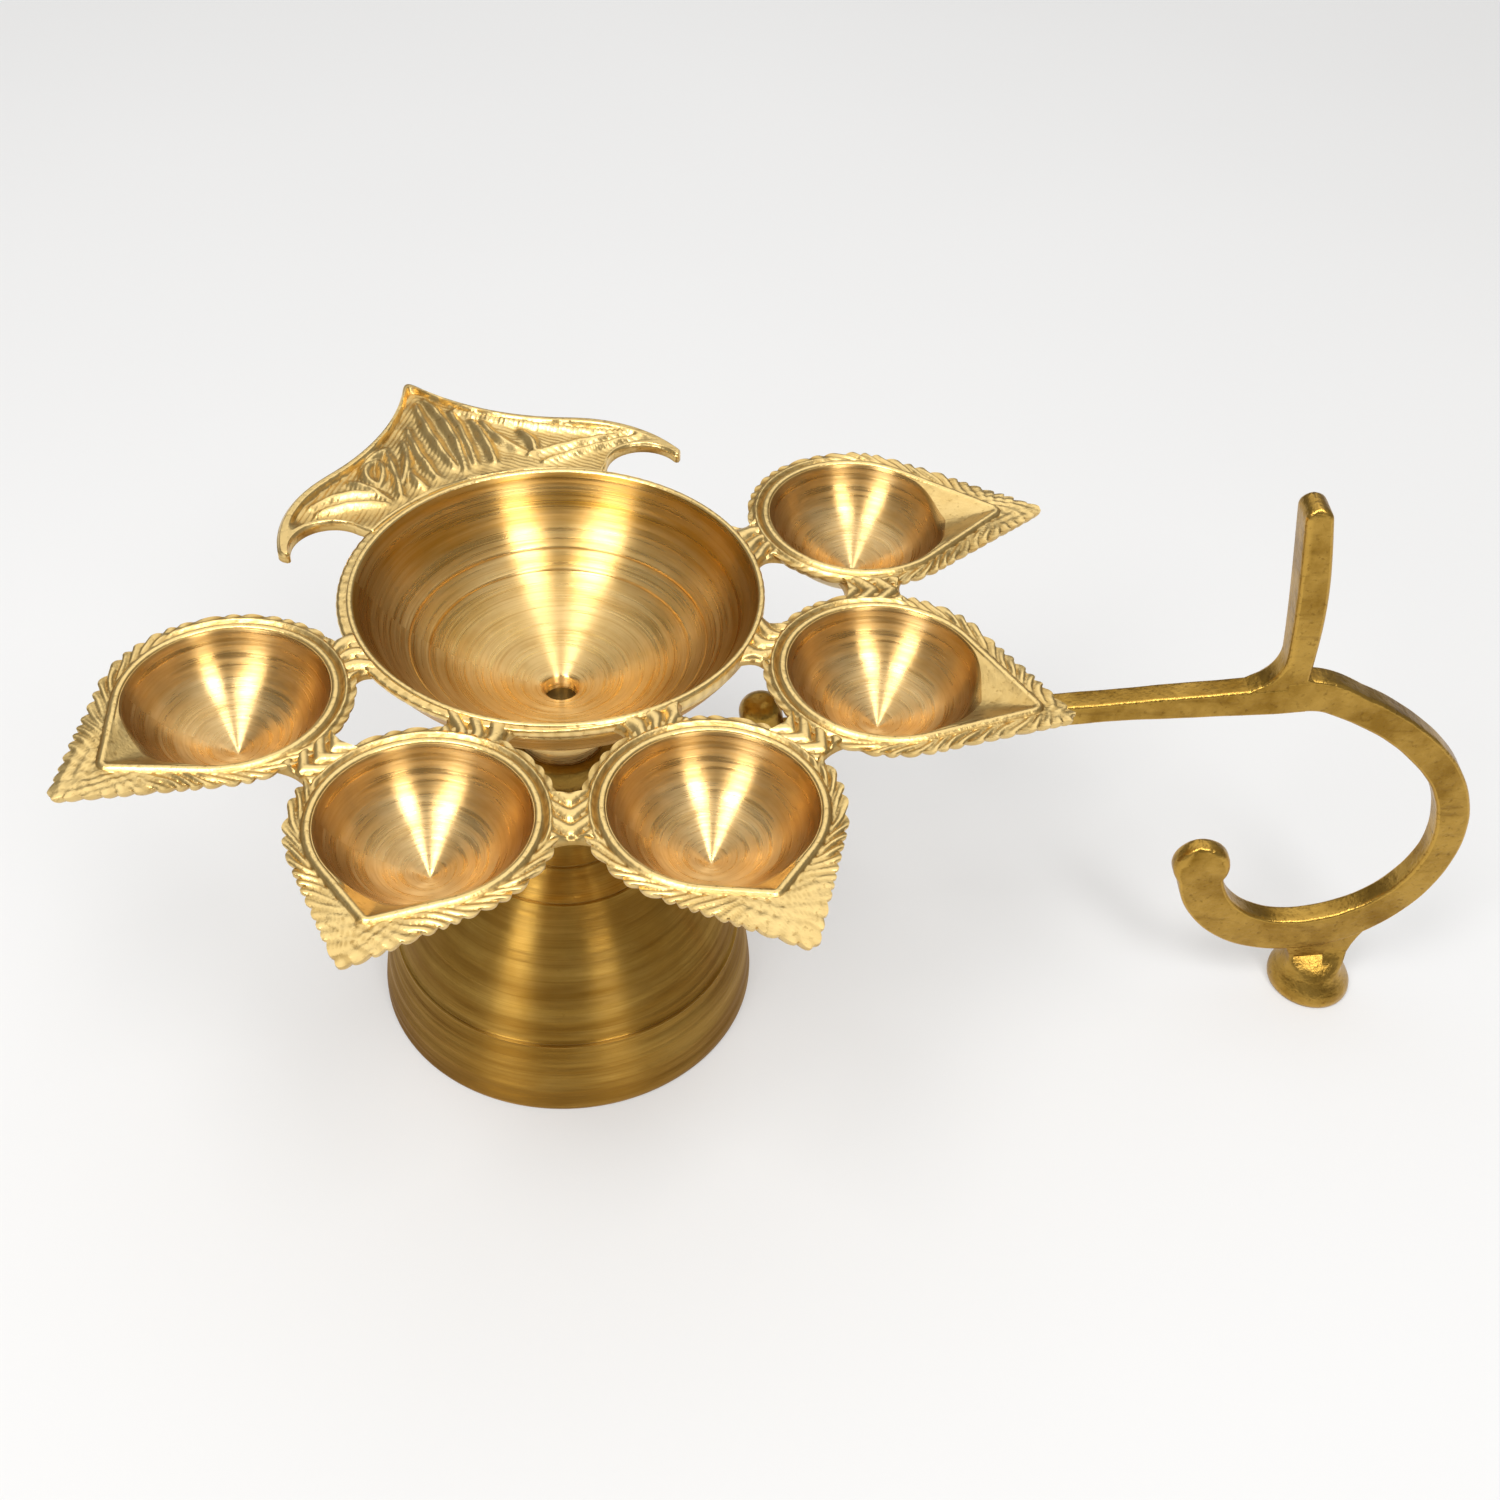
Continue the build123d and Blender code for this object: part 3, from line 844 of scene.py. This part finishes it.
def crest_carving(x, y):
    """Height of the carved lines, from 0 to 1: ribs under the apex, branches to +Y, bands to -Y."""
    ribs = (
        ((21.9, 5.7), (12.3, 6.7), (3.9, 6.2)),
        ((30.1, 0.9), (18.5, 2.0), (5.9, 1.6)),
        ((31.3, -1.5), (17.5, -2.1), (4.3, 0.1)),
        ((24.7, -4.8), (17.2, -4.2), (5.2, -2.6)),
        ((20.1, -7.7), (12.0, -7.4), (4.3, -6.4)),
        ((18.9, -9.4), (10.6, -10.5), (5.4, -13.2)),
        ((12.6, -15.3), (8.3, -15.9), (3.8, -14.9)),
        ((4.2, -14.0), (3.7, -21.5), (3.2, -32.7)),
        ((0.3, -15.6), (0.7, -25.8), (0.7, -38.3)),
        ((25.1, -5.9), (12.5, -19.5), (1.4, -38.7)),
        ((16.1, 12.5), (8.8, 13.4), (0.6, 14.9)),
        ((18.1, 8.1), (11.0, 9.9), (3.5, 13.9)),
        ((17.3, 12.5), (15.3, 15.5), (12.6, 18.8)),
        ((14.1, 15.1), (10.8, 18.6), (5.6, 17.7)),
        ((14.1, 15.3), (9.9, 15.4), (5.6, 17.7)),
        ((8.9, 22.5), (5.4, 20.1), (0.4, 17.7)),
        ((3.9, 31.9), (5.0, 23.8), (2.3, 17.8)),
        ((1.5, 31.4), (1.4, 25.1), (-0.6, 18.7)),
        ((8.1, 10.3), (5.0, 10.6), (1.6, 9.6)),
    )
    height = np.zeros_like(x)
    for start, middle, end in ribs:
        trace = three_point_arc(start, middle, end, 40)
        along = np.linspace(0, 1, len(trace))
        gap = np.hypot(x[..., None] - trace[:, 0], y[..., None] - trace[:, 1])
        taper = 0.55 + 0.45 * np.sin(math.pi * along[gap.argmin(-1)])
        height = np.maximum(height, taper * np.exp(-((gap.min(-1) / (0.6 + 0.6 * taper)) ** 2)))
    return height


def make_crest():
    """The carved plate behind the bowl: a raised rim round a field of leaf ribs."""
    inner, outer = crest_edges(210)
    share = np.linspace(0, 1, 84)[None, :]
    depth = np.linalg.norm(outer - inner, axis=1)[:, None]
    run = run_along((inner + outer) / 2)
    from_end = np.minimum(run, run[-1] - run)[:, None]
    blunt = np.sqrt(np.clip(1 - (1 - from_end / horn_round).clip(0, 1) ** 2, 0.08, 1))
    spot = 0.5 + (share - 0.5) * blunt
    x = inner[:, :1] * (1 - spot) + outer[:, :1] * spot
    y = inner[:, 1:] * (1 - spot) + outer[:, 1:] * spot
    to_outer = (1 - share) * depth * blunt
    to_inner = share * depth * blunt
    rim = smooth_step((crest_rim - to_outer) / 0.8)
    base = smooth_step((crest_base - to_inner) / 0.6)
    open_field = smooth_step((depth - 4.5) / 3) * (1 - rim) * (1 - base)
    ribs = crest_carving(x, y)
    veins = 0.16 * strand((x + 1.1 * np.abs(y)) / 1.5) * (1 - ribs)
    floor = -crest_depth + 0.15 * np.sin(0.9 * x + 0.5 * y) * np.sin(0.8 * y)
    lift = -0.1 + open_field * (floor + crest_depth * ribs + veins + 0.1)
    edge_round = smooth_step(to_outer / 0.9 + 0.1) * smooth_step(to_inner / 0.5 + 0.1)
    lift -= 0.6 * (1 - edge_round) + 0.12 * smooth_step((horn_round - from_end) / horn_round)
    relief = np.clip(1 - 0.72 * open_field + ribs + veins, 0, 1)
    points = np.stack([x + ring_radius, y + crest_offset, rim_height + lift], -1)
    top = rotated(points, math.radians(head_heading + 180))
    piece = plate("carved_crest", top, leaf_bottom, relief)
    finish(piece, "lamp", "cast_brass", [leaf_brass], "crest")


# Handle

def handle_points(along, above, across):
    """Points of the handle from their places along, above and across the bar's top face."""
    x = along * math.cos(bar_rise) - above * math.sin(bar_rise)
    z = bar_origin + along * math.sin(bar_rise) + above * math.cos(bar_rise)
    return np.stack([x, across, z], -1)


def rounded_section(half_width, half_height, radius):
    """Points round a rectangle with round corners, as (across, up)."""
    corners = ((1, 1), (-1, 1), (-1, -1), (1, -1))
    sides = ((-1, 0), (0, -1), (1, 0), (0, 1))
    points = []
    for quarter, (corner, side) in enumerate(zip(corners, sides)):
        for share in np.linspace(0, 1, 6):
            angle = (quarter + share) * math.pi / 2
            points.append((
                corner[0] * (half_width - radius) + radius * math.cos(angle),
                corner[1] * (half_height - radius) + radius * math.sin(angle),
            ))
        across, up = points[-1]
        length = 2 * (half_width - radius if side[0] else half_height - radius)
        for share in (0.25, 0.5, 0.75):
            points.append((across + side[0] * length * share, up + side[1] * length * share))
    return np.array(points)


def corner_relief(section, half_width, half_height, corner):
    """Relief round a section: full at its corners, less on its flat sides."""
    # Full relief at the corners brightens them in the cast brass: wear and a painted highlight on the edges
    at_corner = (np.abs(section[:, 0]) > half_width - corner) & (np.abs(section[:, 1]) > half_height - corner)
    return np.where(at_corner, 1.0, flat_relief)


def wobble(place, seed, size):
    """A slow unevenness along a hand-filed piece."""
    return size * (np.sin(place * 0.31 + seed) + 0.6 * np.sin(place * 0.83 + 2.1 * seed)) / 1.6


def band(name, centres, normals, widths, heights, corners, places):
    """A bar of rounded section along points in the handle's plane."""
    rings, relief = [], []
    stations = zip(centres, normals, widths, heights, corners, places)
    for centre, normal, width, height, corner, place in stations:
        section = rounded_section(width / 2, height / 2, min(corner, width / 2.2, height / 2.2))
        across = section[:, 0] + wobble(place, 1.0, 0.05) * np.sign(section[:, 0])
        lift = section[:, 1] + wobble(place, 2.0, 0.06) * np.sign(section[:, 1])
        rings.append(handle_points(centre[0] + normal[0] * lift, centre[1] + normal[1] * lift, across))
        relief.append(corner_relief(section, width / 2, height / 2, corner))
    return loft(name, np.array(rings), np.array(relief))


def make_bar():
    """The square bar, which deepens toward the loop."""
    place = np.linspace(bar_start, bar_length, 90)
    deepening = smooth_step((place - bar_straight) / (bar_length - bar_straight))
    heights = bar_height + (loop_thickness - bar_height) * deepening
    centres = np.stack([place, -heights / 2], 1)
    normals = np.tile([0.0, 1.0], (len(place), 1))
    widths = np.full(len(place), 2 * bar_half_width)
    corners = np.full(len(place), bar_corner)
    piece = band("grip_bar", centres, normals, widths, heights, corners, place)
    finish(piece, "handle", "handle_brass", [handle_brass], "handle_bar")


def make_eye():
    """The bar's eye, which turns on the pedestal's spigot."""
    profile = (
        (eye_hole_radius, eye_bottom),
        (eye_radius - eye_round, eye_bottom),
        (eye_radius, eye_bottom + eye_round),
        (eye_radius, eye_top - eye_round),
        (eye_radius - eye_round, eye_top),
        (eye_hole_radius, eye_top),
    )
    piece = loft("grip_eye", turn(profile, 128), closed=True)
    finish(piece, "handle", "handle_brass", [handle_brass])


def loop_line():
    """Points, outward directions and run along the finger loop's middle line, in the bar's own axes."""
    points, headings = [], []
    at = np.array([bar_length, -loop_thickness / 2])
    heading = 0.0
    for radius, bend in zip(loop_radii, loop_turns):
        bend = math.radians(bend)
        centre = at + radius * np.array([math.sin(heading), -math.cos(heading)])
        steps = max(8, int(radius * bend / 1.2))
        for share in np.arange(steps) / steps:
            angle = heading - share * bend
            points.append(centre + radius * np.array([-math.sin(angle), math.cos(angle)]))
            headings.append(angle)
        heading -= bend
        at = centre + radius * np.array([-math.sin(heading), math.cos(heading)])
    points = np.array(points + [at])
    headings = np.array(headings + [heading])
    normals = np.stack([-np.sin(headings), np.cos(headings)], 1)
    return points, normals, run_along(points)


def make_loop():
    """The finger loop: it starts inside the bar's end, thickens outward and closes in a round scroll."""
    points, normals, run = loop_line()
    lead_in = np.array([-loop_overlap, -loop_overlap / 2])
    points = np.vstack([points[0] + lead_in[:, None] * (1, 0), points])
    normals = np.vstack([normals[:1], normals[:1], normals])
    run = np.concatenate([lead_in, run])
    half = loop_thickness / 2
    fillet = 1.5 * np.clip(1 - run / 11, 0, 1)
    outer = half + 2.8 * smooth_step((run / run[-1] - 0.5) / 0.28) + fillet
    inner = np.full(len(run), half)

    # Sections through the scroll's circle, straight on from the loop's end
    ahead = np.array([normals[-1][1], -normals[-1][0]])
    radius = scroll_radius + 0.1
    steps = np.concatenate([np.linspace(-4.9, 3.4, 15), radius * np.sin(np.linspace(0.64, 1.54, 18))])
    circle = np.sqrt(radius**2 - steps**2)
    tail = 1 - smooth_step((steps + 2) / 4)
    points = np.vstack([points, points[-1] + ahead * (scroll_lead + steps)[:, None]])
    normals = np.vstack([normals, np.repeat(normals[-1:], len(steps), 0)])
    outer = np.concatenate([outer, np.maximum(circle + scroll_shift, outer[-1] * tail)])
    inner = np.concatenate([inner, np.maximum(circle - scroll_shift, inner[-1] * tail)])

    place = np.concatenate([run, np.full(len(steps), run[-1])]) + bar_length
    centres = points + normals * ((outer - inner) / 2)[:, None]
    dome = np.concatenate([np.ones(len(run)), np.where(steps > 0, 0.5 + 0.5 * circle / radius, 1.0)])
    widths = 2 * bar_half_width * dome
    corners = 0.8 + 1.1 * smooth_step((np.arange(len(points)) - len(run)) / 12)
    piece = band("finger_hook", centres, normals, widths, outer + inner, corners, place)
    finish(piece, "handle", "handle_brass", [handle_brass], "finger_loop")


def make_thumb_rest():
    """The upright lug: a fillet on the lamp's side, a slight lean and belly, and a domed top."""
    dome_start = thumb_height - thumb_dome
    heights = np.concatenate([
        np.linspace(-0.3, thumb_fillet, 14),
        np.linspace(thumb_fillet, dome_start, 24)[1:],
        thumb_height - thumb_dome * (1 - np.sin(np.linspace(0.15, 1.45, 8))),
    ])
    rings, relief = [], []
    for z in heights:
        to_fillet_top = max(thumb_fillet - z, 0)
        fillet = thumb_fillet - math.sqrt(max(thumb_fillet**2 - to_fillet_top**2, 0))
        fillet = min(fillet, thumb_fillet_limit)
        dome = max(z - dome_start, 0) / thumb_dome
        shrink = math.sqrt(max(1 - dome**2, 0.02))
        lean = 0.35 * math.sin(z * 0.09)
        belly = 0.9 * math.sin(math.pi * np.clip(z / thumb_height, 0, 1))
        foot = 1 - smooth_step((z - 0.6) / 0.8)
        low = bar_length - thumb_thickness - fillet + lean
        high = bar_length + belly + lean + 3 * foot
        half = (high - low) / 2 * shrink
        width = 5.05 + 1.75 * smooth_step(z / 30) - 0.2 * foot
        section = rounded_section(half, width / 2 * (0.72 + 0.28 * shrink), min(thumb_corner, half * 0.8))
        rings.append(handle_points((low + high) / 2 + section[:, 0], z, section[:, 1]))
        relief.append(corner_relief(section, half, width / 2, thumb_corner))
    piece = loft("thumb_lug", np.array(rings), np.array(relief))
    finish(piece, "handle", "handle_brass", [handle_brass], "thumb_rest")


def make_stud():
    """The small rounded stud on the bar."""
    round_radius = stud_radius - stud_round
    round_height = stud_height - stud_round
    profile = [(stud_radius, -0.3), (stud_radius, round_height)]
    for bend in np.linspace(0, math.pi / 2, 12)[1:]:
        across, up = stud_round * math.cos(bend), stud_round * math.sin(bend)
        profile.append((round_radius + across, round_height + up))
    profile.append((0.4, stud_height + 0.05))
    rings = turn(profile, 64)
    rings = handle_points(stud_place + rings[..., 0], rings[..., 2], rings[..., 1])
    piece = loft("bar_knob", rings, np.full(rings.shape[:2], 0.65))
    finish(piece, "handle", "handle_brass", [handle_brass], "bar_stud")


def make_foot():
    """The round button under the loop, drawn up through a neck into the loop's underside."""
    button = ((0.4, 0.0), (8.6, 0.0), (9.15, 0.35), (9.3, 1.1), (9.2, 2.4), (8.8, 3.5), (7.9, 4.9))
    stem = ((7.1, 6.2), (6.6, 7.6), (6.4, 9.2), (6.45, 11.2), (6.8, 13.2), (7.5, 15.2), (8.4, 17.2))
    angle = full_circle(96)
    rings, relief = [], []
    for radius, height in button + stem:
        flat = smooth_step((height - 5.5) / 5.5)
        across = radius * np.sin(angle)
        limit = (1 - flat) * 10 + flat * (bar_half_width - 0.1)
        squeezed = limit * np.tanh(across / limit * (1 + 1.5 * flat))
        across = across * (1 - flat) + squeezed * flat
        along = radius * np.cos(angle) - 0.9 * smooth_step(height / 8)
        slope = 0.38 * smooth_step((height - 7) / 9)
        rings.append(np.stack([foot_place + along, across, height + slope * along], 1))
        relief.append(np.full_like(angle, 1.0 if 0.2 < height < 1.5 else 0.6))
    piece = loft("grip_foot", np.array(rings), np.array(relief))
    finish(piece, "handle", "handle_brass", [handle_brass], "handle_foot")


make_pedestal()
make_bowl()
for number in range(cup_count):
    make_cup(number)
    make_bowl_web(number)
for number in range(cup_count - 1):
    make_cup_web(number)
make_crest()
make_bar()
make_eye()
make_loop()
make_thumb_rest()
make_stud()
make_foot()
for node in ("clamp_bolt", "clamp_washer"):
    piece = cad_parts[node]
    piece.data.materials.clear()
    piece.data.materials.append(bolt_brass)


# Floor, light and camera

def make_floor():
    """A pale, faintly mottled floor with a slight glow."""
    bpy.ops.mesh.primitive_plane_add(size=6)
    floor = bpy.context.object
    floor.name = "floor"
    material, tree, shader = new_material("pale_floor")
    grain = noise(tree, object_place(tree), 3, 2.0)
    colour = ramp(tree, grain, ((0.3, (0.49, 0.49, 0.49)), (0.7, (0.51, 0.51, 0.51))))
    plug(tree, shader, Base_Color=colour, Roughness=0.9)
    plug(tree, shader, Emission_Color=(1, 1, 1, 1), Emission_Strength=0.33)
    floor.data.materials.append(material)


def away(azimuth, elevation):
    """The direction from the lamp toward a viewer, from angles in radians; azimuth 0 is the front."""
    level = math.cos(elevation)
    return np.array([math.sin(azimuth) * level, -math.cos(azimuth) * level, math.sin(elevation)])


def facing(right, up, back, at):
    """The placing of a light or camera from its own axes and its place."""
    return Matrix([[right[i], up[i], back[i], at[i]] for i in range(3)] + [[0, 0, 0, 1]])


def soft_box(name, azimuth, elevation, distance, width, height, power):
    """An area light that looks at the lamp's middle; angles in degrees, sizes in metres."""
    light = bpy.data.lights.new(name, "AREA")
    light.shape = "RECTANGLE"
    light.size = width
    light.size_y = height
    light.energy = power
    holder = bpy.data.objects.new(name, light)
    bpy.context.scene.collection.objects.link(holder)
    azimuth = math.radians(azimuth)
    back = away(azimuth, math.radians(elevation))
    right = np.array([math.cos(azimuth), math.sin(azimuth), 0])
    target = np.array([0.03, 0, 0.08])
    holder.matrix_world = facing(right, np.cross(back, right), back, target + back * distance)


def make_light():
    """Two tall soft boxes in front, a broad one above and behind, and a world brighter overhead."""
    soft_box("key_left", azimuth=-38, elevation=54, distance=1.2, width=0.34, height=0.8, power=8.0)
    soft_box("key_right", azimuth=30, elevation=55, distance=1.2, width=0.28, height=0.8, power=6.2)
    soft_box("overhead", azimuth=178, elevation=68, distance=1.3, width=1.6, height=1.8, power=8.0)
    world = bpy.data.worlds.new("studio")
    world.use_nodes = True
    tree = world.node_tree
    _, _, up = split_vector(tree, tree.nodes.new("ShaderNodeTexCoord").outputs["Generated"])
    strength = span(tree, up, 0.2, 0.32, 0.1, 0.9)
    plug(tree, tree.nodes["Background"], Color=(1.0, 0.97, 0.92, 1), Strength=strength)
    bpy.context.scene.world = world


def make_camera():
    """The photograph's camera, from a fit to the circles of the lamp."""
    azimuth, elevation, roll = (math.radians(angle) for angle in (-3.25, 43.21, 3.87))
    target = np.array([39.28, 26.08, 42.96])
    distance = 387.9
    focal_pixels = 1737.8
    photo_pixels = 1500
    back = away(azimuth, elevation)
    level = np.cross(-back, (0, 0, 1))
    level /= np.linalg.norm(level)
    upright = np.cross(level, -back)
    right = math.cos(roll) * level + math.sin(roll) * upright
    up = math.cos(roll) * upright - math.sin(roll) * level
    data = bpy.data.cameras.new("photo_camera")
    data.sensor_width = 36
    data.lens = focal_pixels / photo_pixels * data.sensor_width
    data.clip_start = 0.01
    camera = bpy.data.objects.new("photo_camera", data)
    camera.matrix_world = facing(right, up, back, (target + back * distance) * MM)
    bpy.context.scene.collection.objects.link(camera)
    bpy.context.scene.camera = camera


make_floor()
make_light()
make_camera()
bpy.context.scene.view_settings.view_transform = "Standard"
